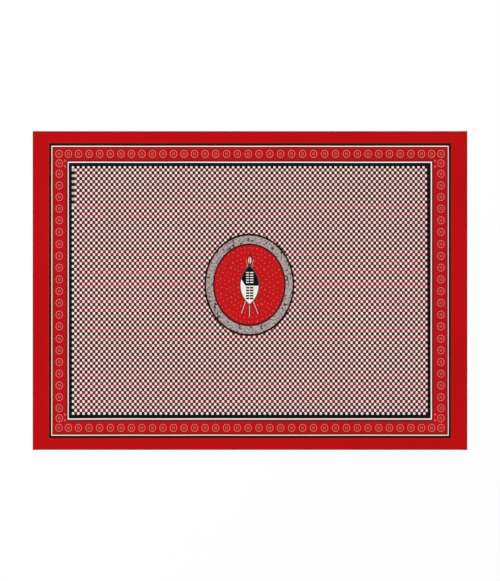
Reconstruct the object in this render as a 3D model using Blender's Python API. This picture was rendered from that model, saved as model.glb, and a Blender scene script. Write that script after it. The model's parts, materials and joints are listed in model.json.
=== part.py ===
"""Printed cotton wrap cloth, laid out flat with its print upwards.

The cloth is one sheet. Its two long edges are woven selvedges, and each of its two cut ends is
turned under twice into a narrow hem, which is part of the sheet. The underside is flat where it
rests, and the upper side keeps a few low, soft swells, as a cloth does when it is smoothed out by
hand.

Units are metres. +Z is up, +X runs along the cloth's length, +Y runs towards the top of its
print, and the origin is the middle of the underside.
"""
import math
from typing import NamedTuple

import bmesh
import bpy

MM = 0.001

CLOTH_LENGTH = 1500 * MM
CLOTH_WIDTH = 1100 * MM
SHEET_THICKNESS = 1.0 * MM

HEM_WIDTH = 9 * MM
HEM_THICKNESS = 2.0 * MM
SELVEDGE_WIDTH = 6 * MM
SELVEDGE_THICKNESS = 1.3 * MM
BAND_SLOPE = 1.2 * MM
EDGE_ROUND = 0.4 * MM

GRID_PITCH = 32 * MM
SWELL_FADE = 60 * MM

PRINT_RED = (0.497, 0.0056, 0.0086, 1.0)
CLOTH_ROUGHNESS = 0.86


class Swell(NamedTuple):
    """A low, soft rise in the cloth: a long bump on an oval foot."""

    x: float
    y: float
    half_length: float
    half_width: float
    turn_deg: float
    rise: float


SWELLS = (
    Swell(x=-480 * MM, y=190 * MM, half_length=250 * MM, half_width=85 * MM, turn_deg=58, rise=1.3 * MM),
    Swell(x=-250 * MM, y=-260 * MM, half_length=280 * MM, half_width=95 * MM, turn_deg=-24, rise=1.1 * MM),
    Swell(x=130 * MM, y=290 * MM, half_length=300 * MM, half_width=80 * MM, turn_deg=12, rise=1.2 * MM),
    Swell(x=420 * MM, y=-130 * MM, half_length=270 * MM, half_width=90 * MM, turn_deg=66, rise=1.4 * MM),
    Swell(x=90 * MM, y=-90 * MM, half_length=210 * MM, half_width=110 * MM, turn_deg=-48, rise=0.7 * MM),
    Swell(x=590 * MM, y=310 * MM, half_length=150 * MM, half_width=70 * MM, turn_deg=-35, rise=1.0 * MM),
)


def clear_scene():
    """Remove every object that the scene starts with."""
    for obj in list(bpy.data.objects):
        bpy.data.objects.remove(obj, do_unlink=True)


def stations(half_side, band_width):
    """Grid places along one side: a flat band at each end, its slope, and even steps between."""
    inner = half_side - band_width - BAND_SLOPE
    steps = round(2 * inner / GRID_PITCH)
    middle = [-inner + 2 * inner * step / steps for step in range(steps + 1)]
    band = [half_side - EDGE_ROUND, half_side - band_width]
    return [-place for place in band] + middle + band[::-1]


def smooth_step(value):
    """Ease from 0 to 1 with level ends."""
    share = min(max(value, 0.0), 1.0)
    return share * share * (3 - 2 * share)


def swell_height(x, y):
    """Height that the swells add at a place, fading out before the hems and selvedges."""
    height = 0.0
    for swell in SWELLS:
        turn = math.radians(swell.turn_deg)
        along = (x - swell.x) * math.cos(turn) + (y - swell.y) * math.sin(turn)
        across = (y - swell.y) * math.cos(turn) - (x - swell.x) * math.sin(turn)
        reach = (along / swell.half_length) ** 2 + (across / swell.half_width) ** 2
        height += swell.rise * math.exp(-reach)
    from_end = CLOTH_LENGTH / 2 - HEM_WIDTH - BAND_SLOPE - abs(x)
    from_side = CLOTH_WIDTH / 2 - SELVEDGE_WIDTH - BAND_SLOPE - abs(y)
    return height * smooth_step(from_end / SWELL_FADE) * smooth_step(from_side / SWELL_FADE)


def top_height(x, y):
    """Height of the cloth's upper side at a place."""
    on_hem = abs(x) > CLOTH_LENGTH / 2 - HEM_WIDTH - BAND_SLOPE / 2
    on_selvedge = abs(y) > CLOTH_WIDTH / 2 - SELVEDGE_WIDTH - BAND_SLOPE / 2
    if on_hem:
        return HEM_THICKNESS
    if on_selvedge:
        return SELVEDGE_THICKNESS
    return SHEET_THICKNESS + swell_height(x, y)


def push_to_outline(vert, last_x, last_y):
    """Move a vertex in the middle of the edge wall out to the cloth's outline."""
    if abs(vert.co.x) > last_x:
        vert.co.x = math.copysign(CLOTH_LENGTH / 2, vert.co.x)
    if abs(vert.co.y) > last_y:
        vert.co.y = math.copysign(CLOTH_WIDTH / 2, vert.co.y)


def cloth_mesh():
    """Build the sheet: a flat grid, raised into a solid, with its edge wall rounded outwards."""
    xs = stations(CLOTH_LENGTH / 2, HEM_WIDTH)
    ys = stations(CLOTH_WIDTH / 2, SELVEDGE_WIDTH)
    mesh_builder = bmesh.new()
    bmesh.ops.create_grid(mesh_builder, x_segments=len(xs) - 1, y_segments=len(ys) - 1, size=0.5)
    for vert in mesh_builder.verts:
        column = round((vert.co.x + 0.5) * (len(xs) - 1))
        row = round((vert.co.y + 0.5) * (len(ys) - 1))
        vert.co = (xs[column], ys[row], 0.0)

    raised = bmesh.ops.extrude_face_region(mesh_builder, geom=mesh_builder.faces[:])["geom"]
    top_verts = {item for item in raised if isinstance(item, bmesh.types.BMVert)}
    for vert in top_verts:
        vert.co.z = top_height(vert.co.x, vert.co.y)

    wall_edges = [
        edge for edge in mesh_builder.edges
        if (edge.verts[0] in top_verts) != (edge.verts[1] in top_verts)
    ]
    split = bmesh.ops.subdivide_edges(mesh_builder, edges=wall_edges, cuts=1)["geom_inner"]
    for item in split:
        if isinstance(item, bmesh.types.BMVert):
            push_to_outline(item, xs[-1] - EDGE_ROUND / 2, ys[-1] - EDGE_ROUND / 2)

    bmesh.ops.triangulate(mesh_builder, faces=mesh_builder.faces[:])
    bmesh.ops.recalc_face_normals(mesh_builder, faces=mesh_builder.faces[:])
    mesh = bpy.data.meshes.new("kanga_cloth")
    mesh_builder.to_mesh(mesh)
    mesh_builder.free()
    return mesh


def cloth_material():
    """Matte printed cotton in the red of the cloth's border."""
    material = bpy.data.materials.new("printed_cotton")
    material.use_nodes = True
    shader = material.node_tree.nodes["Principled BSDF"]
    shader.inputs["Base Color"].default_value = PRINT_RED
    shader.inputs["Roughness"].default_value = CLOTH_ROUGHNESS
    shader.inputs["Metallic"].default_value = 0.0
    return material


def main():
    """Build the cloth as one named object."""
    clear_scene()
    cloth = bpy.data.objects.new("kanga_cloth", cloth_mesh())
    cloth.data.materials.append(cloth_material())
    cloth.data.shade_smooth()
    cloth.data.set_sharp_from_angle(angle=math.radians(40))
    bpy.context.scene.collection.objects.link(cloth)


main()
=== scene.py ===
"""Looks of a printed cotton kanga, laid out flat with its print upwards.

The cloth is one thin sheet with a hem turned under twice at each cut end. Its print is drawn by
shader nodes from named sizes: a red border between black and white lines, a row of ring motifs, a
checked field, and an oval in the middle with a shield and spears. Units are metres, in the frame
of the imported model: +X along the cloth, +Y towards the top of the print, +Z up.
"""

import json
import logging
import math
from dataclasses import dataclass
from enum import Enum
from functools import reduce
from typing import NamedTuple, Optional, Union

import bpy
from mathutils import Vector, noise
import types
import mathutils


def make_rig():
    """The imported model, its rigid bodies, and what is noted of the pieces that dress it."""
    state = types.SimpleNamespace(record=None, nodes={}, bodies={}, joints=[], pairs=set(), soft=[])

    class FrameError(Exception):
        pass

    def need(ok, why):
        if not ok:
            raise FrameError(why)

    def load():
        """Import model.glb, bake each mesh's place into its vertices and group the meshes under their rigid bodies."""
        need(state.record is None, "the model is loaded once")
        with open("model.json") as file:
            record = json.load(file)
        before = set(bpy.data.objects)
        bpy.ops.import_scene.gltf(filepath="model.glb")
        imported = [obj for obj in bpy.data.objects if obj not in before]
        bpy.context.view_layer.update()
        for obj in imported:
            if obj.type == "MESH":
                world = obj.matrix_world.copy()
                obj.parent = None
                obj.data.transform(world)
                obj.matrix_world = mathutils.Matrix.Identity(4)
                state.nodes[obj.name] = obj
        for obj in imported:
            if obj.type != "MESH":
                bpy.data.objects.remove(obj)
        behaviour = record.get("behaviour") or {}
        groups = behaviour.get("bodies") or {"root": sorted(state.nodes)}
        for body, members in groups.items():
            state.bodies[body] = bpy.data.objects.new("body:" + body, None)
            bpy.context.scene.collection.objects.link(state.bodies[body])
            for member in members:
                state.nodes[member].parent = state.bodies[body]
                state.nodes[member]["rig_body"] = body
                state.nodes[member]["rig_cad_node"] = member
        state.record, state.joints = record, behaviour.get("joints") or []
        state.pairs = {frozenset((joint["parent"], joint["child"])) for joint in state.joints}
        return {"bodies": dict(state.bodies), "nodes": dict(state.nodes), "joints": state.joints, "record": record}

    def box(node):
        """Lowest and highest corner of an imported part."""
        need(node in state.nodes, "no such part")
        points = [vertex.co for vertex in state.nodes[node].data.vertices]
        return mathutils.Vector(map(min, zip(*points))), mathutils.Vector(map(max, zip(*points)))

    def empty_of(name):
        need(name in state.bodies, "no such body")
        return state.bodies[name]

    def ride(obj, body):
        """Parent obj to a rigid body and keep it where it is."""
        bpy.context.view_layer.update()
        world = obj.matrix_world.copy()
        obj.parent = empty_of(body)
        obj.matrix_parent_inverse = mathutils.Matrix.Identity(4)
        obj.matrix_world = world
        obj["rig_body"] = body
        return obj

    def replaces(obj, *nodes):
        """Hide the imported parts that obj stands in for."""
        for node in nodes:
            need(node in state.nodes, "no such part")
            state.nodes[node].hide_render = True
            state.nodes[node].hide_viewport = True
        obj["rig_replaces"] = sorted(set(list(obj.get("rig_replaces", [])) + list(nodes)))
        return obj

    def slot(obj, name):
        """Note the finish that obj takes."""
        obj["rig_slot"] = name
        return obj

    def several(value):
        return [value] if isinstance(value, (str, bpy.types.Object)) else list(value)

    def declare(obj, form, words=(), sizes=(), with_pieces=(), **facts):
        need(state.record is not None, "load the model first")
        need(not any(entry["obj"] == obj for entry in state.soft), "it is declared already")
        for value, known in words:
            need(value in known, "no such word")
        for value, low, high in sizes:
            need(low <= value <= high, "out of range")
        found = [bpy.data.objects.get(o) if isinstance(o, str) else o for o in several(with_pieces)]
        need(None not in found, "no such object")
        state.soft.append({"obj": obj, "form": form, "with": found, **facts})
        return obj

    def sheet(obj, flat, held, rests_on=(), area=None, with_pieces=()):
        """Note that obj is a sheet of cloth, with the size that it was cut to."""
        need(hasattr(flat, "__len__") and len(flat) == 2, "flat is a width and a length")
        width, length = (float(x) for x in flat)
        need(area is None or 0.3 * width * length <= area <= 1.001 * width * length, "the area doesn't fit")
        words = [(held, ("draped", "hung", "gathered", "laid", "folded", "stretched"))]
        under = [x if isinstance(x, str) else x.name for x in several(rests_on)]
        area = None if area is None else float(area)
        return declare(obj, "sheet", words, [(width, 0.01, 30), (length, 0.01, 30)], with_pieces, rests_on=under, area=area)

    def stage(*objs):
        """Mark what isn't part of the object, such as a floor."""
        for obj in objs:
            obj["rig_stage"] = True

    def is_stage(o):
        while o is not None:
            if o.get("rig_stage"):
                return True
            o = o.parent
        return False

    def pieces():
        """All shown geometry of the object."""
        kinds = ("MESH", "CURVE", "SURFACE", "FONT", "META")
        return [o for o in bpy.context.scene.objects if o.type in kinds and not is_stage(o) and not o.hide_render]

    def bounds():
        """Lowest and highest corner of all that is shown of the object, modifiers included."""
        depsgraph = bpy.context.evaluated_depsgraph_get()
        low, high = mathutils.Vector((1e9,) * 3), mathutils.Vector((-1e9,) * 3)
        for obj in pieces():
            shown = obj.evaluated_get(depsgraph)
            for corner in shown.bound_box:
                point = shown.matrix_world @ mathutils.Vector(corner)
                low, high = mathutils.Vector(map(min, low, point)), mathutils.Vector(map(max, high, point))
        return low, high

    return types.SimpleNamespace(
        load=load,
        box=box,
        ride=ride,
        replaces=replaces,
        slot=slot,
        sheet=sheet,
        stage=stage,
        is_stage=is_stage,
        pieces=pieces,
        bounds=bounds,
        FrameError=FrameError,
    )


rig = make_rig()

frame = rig.load()
cad_low, cad_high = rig.bounds()

MM = 0.001
SIZE_FILE = "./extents.json"
CLOTH_NODE = "kanga_cloth"
ROOT_BODY = "root"
COTTON_SLOT = "printed_cotton"

SRGB_FULL = 255
SRGB_KNEE = 0.04045
SRGB_SLOPE = 12.92
SRGB_OFFSET = 0.055
SRGB_POWER = 2.4

Socket = bpy.types.NodeSocket
Colour = tuple[float, float, float, float]

log = logging.getLogger("kanga")


def linear_colour(red: float, green: float, blue: float) -> Colour:
    """The linear colour, with an alpha of 1, for sRGB parts from 0 to 255."""
    lights = []
    for channel in (red, green, blue):
        share = channel / SRGB_FULL
        if share <= SRGB_KNEE:
            lights.append(share / SRGB_SLOPE)
        else:
            lights.append(((share + SRGB_OFFSET) / (1 + SRGB_OFFSET)) ** SRGB_POWER)
    return (*lights, 1.0)


class Ink(Enum):
    """The inks of the print, as sRGB colours, with the painted shade along the cloth's edges."""

    # Painted shade: a darker red along all four edges of the cloth, showing outside the border band.
    EDGE_SHADE_RED = (155, 22, 26)
    BORDER_RED = (183, 10, 14)
    RED_BY_LINE = (161, 26, 31)
    RING_BAND_RED = (177, 19, 25)
    LINE_BLACK = (52, 4, 2)
    LINE_DARK_RED = (114, 28, 27)
    LINE_PINK = (245, 116, 109)
    LINE_WHITE = (255, 239, 229)
    INNER_LINE_WHITE = (255, 238, 234)
    RING_CORAL = (240, 104, 100)
    RING_DARK = (147, 17, 12)
    RING_EYE = (226, 91, 87)
    RING_PUPIL = (168, 42, 40)
    BAND_BLACK = (18, 20, 18)
    CHECK_WHITE = (245, 226, 220)
    CHECK_PINK = (246, 220, 215)
    CHECK_BLACK = (40, 24, 15)
    CHECK_MAROON = (74, 35, 28)
    CHECK_CRIMSON = (114, 34, 50)
    CHECK_GREY = (125, 120, 102)
    CHECK_ROSE = (199, 91, 103)
    CHECK_END_WHITE = (239, 226, 228)
    CHECK_END_GREY = (118, 104, 104)
    CHECK_MERGED_WHITE = (200, 181, 179)
    OVAL_BLACK = (30, 18, 15)
    OVAL_BROWN = (74, 12, 15)
    OVAL_GREY = (184, 170, 160)
    OVAL_LILAC = (181, 160, 162)
    OVAL_SAGE = (170, 172, 159)
    OVAL_SPECK = (56, 40, 40)
    OVAL_RED = (194, 19, 23)
    OVAL_DULL_RED = (178, 24, 28)
    OVAL_DOT = (255, 92, 88)
    SHIELD_BLACK = (8, 16, 16)
    SHIELD_WHITE = (240, 234, 225)
    SHIELD_LINE = (124, 72, 67)
    SHIELD_SHADE = (152, 32, 33)
    SPEAR_PALE = (238, 198, 192)
    SPEAR_RIB = (126, 100, 98)
    SPEAR_NECK = (84, 56, 60)
    SPEAR_CORAL = (246, 168, 164)
    SPEAR_LINE = (112, 22, 26)
    BLADE_LINE = (138, 28, 33)

    @property
    def paint(self) -> Colour:
        """The ink as a linear colour."""
        return linear_colour(*self.value)


class Seed(Enum):
    """Which pattern of random noise an effect draws on."""

    LINE_WOBBLE = 1.0
    LILAC = 3.0
    SAGE = 4.0
    SPECKS = 5.0
    DULL_RED = 6.0
    SHADOW = 7.0
    STRAY_X = 8.0
    STRAY_Y = 9.0
    FULL_DOTS = 10.0
    WARP_SLUBS = 11.0
    WEFT_SLUBS = 12.0
    CRIMSON = 13.0
    DYE_PATCHES = 21.0
    DYE_MOTTLE = 22.0


class Patches(NamedTuple):
    """Random patches: their width, the noise at which they start and are full, and their detail."""

    size: float
    start: float
    full: float
    seed: Seed
    detail: float = 2.0


class Field:
    """A number that changes over the surface: each sum with it places a node."""

    def __init__(self, wiring: "Wiring", socket: Socket) -> None:
        """Take the wiring of the node tree, and the output that gives the number."""
        self.wiring = wiring
        self.socket = socket

    def __add__(self, other: "Operand") -> "Field":
        """The sum."""
        return self.wiring.math("ADD", self, other)

    def __sub__(self, other: "Operand") -> "Field":
        """The number less another."""
        return self.wiring.math("SUBTRACT", self, other)

    def __rsub__(self, other: float) -> "Field":
        """A plain number less this one."""
        return self.wiring.math("SUBTRACT", other, self)

    def __mul__(self, other: "Operand") -> "Field":
        """The product."""
        return self.wiring.math("MULTIPLY", self, other)

    def __truediv__(self, other: "Operand") -> "Field":
        """The number divided by another."""
        return self.wiring.math("DIVIDE", self, other)

    def __mod__(self, other: float) -> "Field":
        """What is left after whole periods, never below zero."""
        return self.wiring.math("FLOORED_MODULO", self, other)

    def __gt__(self, other: "Operand") -> "Field":
        """1 where the number is above the other, and 0 elsewhere."""
        return self.wiring.math("GREATER_THAN", self, other)

    def __lt__(self, other: "Operand") -> "Field":
        """1 where the number is below the other, and 0 elsewhere."""
        return self.wiring.math("LESS_THAN", self, other)

    def __abs__(self) -> "Field":
        """The number without its sign."""
        return self.wiring.math("ABSOLUTE", self)

    def __round__(self) -> "Field":
        """The nearest whole number."""
        return self.wiring.math("ROUND", self)

    def floor(self) -> "Field":
        """The whole number below."""
        return self.wiring.math("FLOOR", self)

    def root(self) -> "Field":
        """The square root."""
        return self.wiring.math("SQRT", self)

    def sine(self) -> "Field":
        """The sine of the angle in radians."""
        return self.wiring.math("SINE", self)

    def cosine(self) -> "Field":
        """The cosine of the angle in radians."""
        return self.wiring.math("COSINE", self)

    def held(self, low: float, high: float) -> "Field":
        """The number, kept from going below low or above high."""
        return self.wiring.largest(self.wiring.smallest(self, high), low)

    def ease(self, start: float, end: float) -> "Field":
        """Ease from 0 at start to 1 at end, which may be below start, and hold level outside them."""
        node = self.wiring.node("ShaderNodeMapRange")
        node.interpolation_type = "SMOOTHSTEP"
        self.wiring.fill(node, value=self, from_min=start, from_max=end)
        return Field(self.wiring, node.outputs["Result"])

    def step_at(self, edge: float, blur: float) -> "Field":
        """Ease from 0 to 1 where the number passes an edge, or from 1 to 0 if the blur is negative."""
        return self.ease(edge - blur, edge + blur)

    def spread(self, low: float, high: float) -> "Field":
        """Turn a share from 0 to 1 into a number from low to high."""
        return self * (high - low) + low


Operand = Union[Field, float]
Paint = Union[Socket, Colour, Ink]
Value = Union[Field, Paint, float]


class Wiring:
    """Places nodes in one node tree and joins them up."""

    COLOUR_MIX_INPUTS = (0, 6, 7)
    COLOUR_MIX_OUTPUT = 2

    def __init__(self, tree: bpy.types.NodeTree) -> None:
        """Take the node tree to work in."""
        self.tree = tree

    def node(self, kind: str) -> bpy.types.Node:
        """Add a node of one kind."""
        return self.tree.nodes.new(kind)

    def feed(self, socket: Socket, value: Value) -> None:
        """Give an input its value: something to link from, or a plain number, colour or ink."""
        if isinstance(value, Field):
            value = value.socket
        if isinstance(value, bpy.types.NodeSocket):
            self.tree.links.new(value, socket)
        else:
            socket.default_value = value.paint if isinstance(value, Ink) else value

    def fill(self, node: bpy.types.Node, **values: Value) -> bpy.types.Node:
        """Give a node's inputs their values, by name in small letters, with _ for each space."""
        for name, value in values.items():
            self.feed(node.inputs[name.replace("_", " ").title()], value)
        return node

    def math(self, operation: str, *values: Operand) -> Field:
        """Do one operation of a Math node on its inputs, in order."""
        node = self.node("ShaderNodeMath")
        node.operation = operation
        for socket, value in zip(node.inputs, values):
            self.feed(socket, value)
        return Field(self, node.outputs[0])

    def angle(self, y: Field, x: Field) -> Field:
        """The direction of a place from the middle, in radians."""
        return self.math("ARCTAN2", y, x)

    def smallest(self, *values: Operand) -> Field:
        """The smallest of several values."""
        return reduce(lambda first, second: self.math("MINIMUM", first, second), values)

    def largest(self, *values: Operand) -> Field:
        """The largest of several values."""
        return reduce(lambda first, second: self.math("MAXIMUM", first, second), values)

    def blend(self, share: Operand, below: Paint, above: Paint) -> Socket:
        """Mix two colours. The share is how much of the upper one shows, from 0 to 1."""
        node = self.node("ShaderNodeMix")
        node.data_type = "RGBA"
        for index, value in zip(self.COLOUR_MIX_INPUTS, (share, below, above)):
            self.feed(node.inputs[index], value)
        return node.outputs[self.COLOUR_MIX_OUTPUT]

    def split(self, vector: Socket) -> tuple[Field, Field]:
        """The X and Y of a vector."""
        node = self.fill(self.node("ShaderNodeSeparateXYZ"), vector=vector)
        return Field(self, node.outputs["X"]), Field(self, node.outputs["Y"])

    def join(self, x: Operand, y: Operand) -> Socket:
        """A vector with that X and Y, and no Z."""
        return self.fill(self.node("ShaderNodeCombineXYZ"), x=x, y=y).outputs[0]

    def cloud(self, place: Socket, size: float, seed: Seed, detail: float = 2.0) -> Field:
        """Soft random noise from 0 to 1, mostly near 0.5, in clouds that are size metres wide."""
        node = self.node("ShaderNodeTexNoise")
        node.noise_dimensions = "4D"
        self.fill(node, vector=place, w=seed.value, scale=1 / size, detail=detail)
        return Field(self, node.outputs[0])

    def group(self, tree: bpy.types.NodeTree, **values: Value) -> bpy.types.Node:
        """Place a node group, with values for its inputs by name, as for fill."""
        node = self.node("ShaderNodeGroup")
        node.node_tree = tree
        return self.fill(node, **values)


def new_material(
    name: str, roughness: float, specular: float
) -> tuple[bpy.types.Material, Wiring, bpy.types.Node]:
    """Start a material. The wiring of its nodes and its shader come with it."""
    material = bpy.data.materials.new(name)
    material.use_nodes = True
    shader = material.node_tree.nodes["Principled BSDF"]
    shader.inputs["Roughness"].default_value = roughness
    shader.inputs["Specular IOR Level"].default_value = specular
    return material, Wiring(material.node_tree), shader


class GroupSocket(NamedTuple):
    """One named input or output of a node group."""

    name: str
    kind: str
    start: Optional[float] = None


PLACE_SOCKET = GroupSocket("Place", "NodeSocketVector")
COLOUR_SOCKET = GroupSocket("Colour", "NodeSocketColor")


def new_group(
    name: str, takes: list[GroupSocket], gives: list[GroupSocket]
) -> tuple[Wiring, dict[str, Socket], dict[str, Socket]]:
    """Start a node group: its wiring, its inputs by name and its outputs by name."""
    tree = bpy.data.node_groups.new(name, "ShaderNodeTree")
    for sockets, direction in ((takes, "INPUT"), (gives, "OUTPUT")):
        for socket in sockets:
            made = tree.interface.new_socket(name=socket.name, in_out=direction, socket_type=socket.kind)
            if socket.start is not None:
                made.default_value = socket.start
    wiring = Wiring(tree)
    inside = wiring.node("NodeGroupInput")
    outside = wiring.node("NodeGroupOutput")
    inputs = {socket.name: inside.outputs[socket.name] for socket in takes}
    outputs = {socket.name: outside.inputs[socket.name] for socket in gives}
    return wiring, inputs, outputs


def oval_reach(x: Field, y: Field, half_width: float, half_height: float) -> Field:
    """Distance from an oval's middle, scaled so that its rim lies at half_width."""
    scaled_y = y * (half_width / half_height)
    return (x * x + scaled_y * scaled_y).root()


@dataclass(frozen=True)
class ClothSize:
    """The cloth's finished length along X and width along Y."""

    length: float
    width: float

    @classmethod
    def of_node(cls, node: str) -> "ClothSize":
        """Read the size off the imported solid."""
        low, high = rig.box(node)
        return cls(length=high.x - low.x, width=high.y - low.y)


class Leaf(NamedTuple):
    """An upright pointed oval: where it stands along X, its foot, and its width and height."""

    x: float
    foot_y: float
    width: float
    height: float


class PrintTable(Wiring):
    """The cloth on the printing table: a place on it, and the colour printed there so far."""

    BLEED = 0.45 * MM

    def __init__(self, tree: bpy.types.NodeTree, place: Socket, ground: Ink) -> None:
        """Start a print on plain ground, at a place in metres from the cloth's middle."""
        super().__init__(tree)
        self.x, self.y = self.split(place)
        self.place = self.join(self.x, self.y)
        self.colour: Paint = ground

    def lay(self, paint: Paint, where: Operand) -> None:
        """Print over what is there, by the share of the place that the ink or colour covers."""
        self.colour = self.blend(where, self.colour, paint)

    def beyond(self, value: Field, edge: float) -> Field:
        """Cover where a value, in metres, is above the edge, with the ink's bleed."""
        return value.step_at(edge, self.BLEED)

    def within(self, value: Field, edge: float) -> Field:
        """Cover where a value, in metres, is below the edge, with the ink's bleed."""
        return value.step_at(edge, -self.BLEED)

    def patches(self, patches: Patches) -> Field:
        """Cover random patches of the cloth, from 0 between them to 1 inside them."""
        noise_there = self.cloud(self.place, patches.size, patches.seed, patches.detail)
        return noise_there.ease(patches.start, patches.full)

    def leaf_depth(self, leaf: Leaf) -> Field:
        """How far a place lies inside a leaf, which two arcs bound: below zero outside it."""
        radius = (leaf.height ** 2 + leaf.width ** 2) / (4 * leaf.width)
        out_x = abs(self.x - leaf.x) + (radius - leaf.width / 2)
        y = self.y - (leaf.foot_y + leaf.height / 2)
        return radius - (out_x * out_x + y * y).root()

    def box_depth(self, left: float, right: float, bottom: float, top: float) -> Field:
        """How far a place lies inside an upright rectangle: below zero outside it."""
        return self.smallest(self.x - left, right - self.x, self.y - bottom, top - self.y)

    def stroke(self, start: tuple[float, float], end: tuple[float, float], width: float) -> Field:
        """The share that a straight stroke covers, given the two ends of its middle line."""
        length = math.dist(start, end)
        along_x = (end[0] - start[0]) / length
        along_y = (end[1] - start[1]) / length
        from_x = self.x - start[0]
        from_y = self.y - start[1]
        along = from_x * along_x + from_y * along_y
        across = from_y * along_x - from_x * along_y
        depth = self.smallest(along, length - along, width / 2 - abs(across))
        return self.beyond(depth, 0.0)


class BandEdge(NamedTuple):
    """Where one printed band of the border starts, as distances in from the cloth's edges."""

    ink: Ink
    left: float
    right: float
    top: float
    bottom: float


@dataclass(frozen=True)
class BorderBands:
    """The lines and bands round the cloth, each printed inside the one before it."""

    cloth: ClothSize
    edges: tuple[BandEdge, ...] = (
        # Outside this first band, the ground's painted edge shade shows, about 5 mm wide.
        BandEdge(Ink.BORDER_RED, left=5.0 * MM, right=5.0 * MM, top=4.6 * MM, bottom=4.6 * MM),
        BandEdge(Ink.RED_BY_LINE, left=51.7 * MM, right=51.7 * MM, top=36.1 * MM, bottom=36.3 * MM),
        BandEdge(Ink.LINE_BLACK, left=57.4 * MM, right=57.0 * MM, top=42.3 * MM, bottom=41.0 * MM),
        BandEdge(Ink.LINE_WHITE, left=64.5 * MM, right=64.3 * MM, top=50.4 * MM, bottom=49.0 * MM),
        BandEdge(Ink.LINE_PINK, left=67.1 * MM, right=66.5 * MM, top=53.4 * MM, bottom=51.8 * MM),
        BandEdge(Ink.LINE_DARK_RED, left=68.1 * MM, right=67.6 * MM, top=54.2 * MM, bottom=52.5 * MM),
        BandEdge(Ink.RED_BY_LINE, left=71.4 * MM, right=71.6 * MM, top=58.2 * MM, bottom=56.6 * MM),
        BandEdge(Ink.RING_BAND_RED, left=76.0 * MM, right=76.8 * MM, top=62.2 * MM, bottom=61.4 * MM),
        BandEdge(Ink.RED_BY_LINE, left=112.2 * MM, right=111.9 * MM, top=95.0 * MM, bottom=94.8 * MM),
        BandEdge(Ink.LINE_DARK_RED, left=115.2 * MM, right=116.5 * MM, top=99.3 * MM, bottom=99.3 * MM),
        BandEdge(Ink.LINE_PINK, left=120.4 * MM, right=121.4 * MM, top=104.7 * MM, bottom=104.3 * MM),
        BandEdge(
            Ink.INNER_LINE_WHITE, left=121.2 * MM, right=122.7 * MM, top=105.8 * MM, bottom=104.8 * MM
        ),
        BandEdge(Ink.BAND_BLACK, left=124.0 * MM, right=126.0 * MM, top=109.05 * MM, bottom=108.4 * MM),
    )
    wobble: float = 0.6 * MM
    wobble_length: float = 240 * MM

    def print_on(self, table: PrintTable) -> None:
        """Print the bands, from the outer one inwards."""
        half_length = self.cloth.length / 2
        half_width = self.cloth.width / 2
        sway = table.cloud(table.place, self.wobble_length, Seed.LINE_WOBBLE, detail=1.0)
        wobble = sway.spread(-self.wobble, self.wobble)
        for edge in self.edges:
            depth = table.box_depth(
                left=edge.left - half_length,
                right=half_length - edge.right,
                bottom=edge.bottom - half_width,
                top=half_width - edge.top,
            )
            table.lay(edge.ink, table.beyond(depth + wobble, 0.0))


class RingRun(NamedTuple):
    """A run of ring motifs with even spacing along one side."""

    first: float
    pitch: float
    count: int

    def distance(self, along: Field) -> Field:
        """Distance along the row to the middle of the run's nearest motif."""
        from_first = along - self.first
        step = round(from_first / self.pitch).held(0, self.count - 1)
        return abs(from_first - step * self.pitch)


@dataclass(frozen=True)
class RingMotifs:
    """The row of ring motifs round the border: coral rings on dark discs, with a small ringed eye."""

    top_row_y: float = 471.7 * MM
    bottom_row_y: float = -474.1 * MM
    left_row_x: float = -658.4 * MM
    right_row_x: float = 659.0 * MM
    level_rows_reach: float = 457.0 * MM
    level_runs: tuple[RingRun, ...] = (
        RingRun(first=-659.6 * MM, pitch=32.4 * MM, count=2),
        RingRun(first=-592.3 * MM, pitch=36.72 * MM, count=5),
        RingRun(first=-409.5 * MM, pitch=36.37 * MM, count=9),
        RingRun(first=-81.0 * MM, pitch=37.35 * MM, count=6),
        RingRun(first=143.8 * MM, pitch=37.83 * MM, count=7),
        RingRun(first=407.5 * MM, pitch=36.95 * MM, count=6),
        RingRun(first=626.9 * MM, pitch=32.5 * MM, count=2),
    )
    upright_runs: tuple[RingRun, ...] = (
        RingRun(first=-440.8 * MM, pitch=34.8 * MM, count=2),
        RingRun(first=-368.0 * MM, pitch=40.35 * MM, count=6),
        RingRun(first=-123.7 * MM, pitch=40.53 * MM, count=8),
        RingRun(first=202.2 * MM, pitch=40.16 * MM, count=6),
        RingRun(first=439.0 * MM, pitch=34.8 * MM, count=1),
    )
    half_width: float = 12.4 * MM
    half_height: float = 13.4 * MM
    ring_line: float = 2.35 * MM
    eye_radius: float = 5.0 * MM
    pupil_radius: float = 2.9 * MM

    def print_on(self, table: PrintTable) -> None:
        """Print the motifs along all four sides."""
        from_row_y = table.y - (table.y > 0).spread(self.bottom_row_y, self.top_row_y)
        from_row_x = table.x - (table.x > 0).spread(self.left_row_x, self.right_row_x)
        along_level = table.smallest(*(run.distance(table.x) for run in self.level_runs))
        along_upright = table.smallest(*(run.distance(table.y) for run in self.upright_runs))
        level = oval_reach(along_level, from_row_y, self.half_width, self.half_height)
        upright = oval_reach(from_row_x, along_upright, self.half_width, self.half_height)
        in_level_rows = abs(table.y) > self.level_rows_reach
        reach = (level - upright) * in_level_rows + upright
        table.lay(Ink.RING_CORAL, table.within(reach, self.half_width))
        table.lay(Ink.RING_DARK, table.within(reach, self.half_width - self.ring_line))
        table.lay(Ink.RING_EYE, table.within(reach, self.eye_radius))
        table.lay(Ink.RING_PUPIL, table.within(reach, self.pupil_radius))


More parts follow.
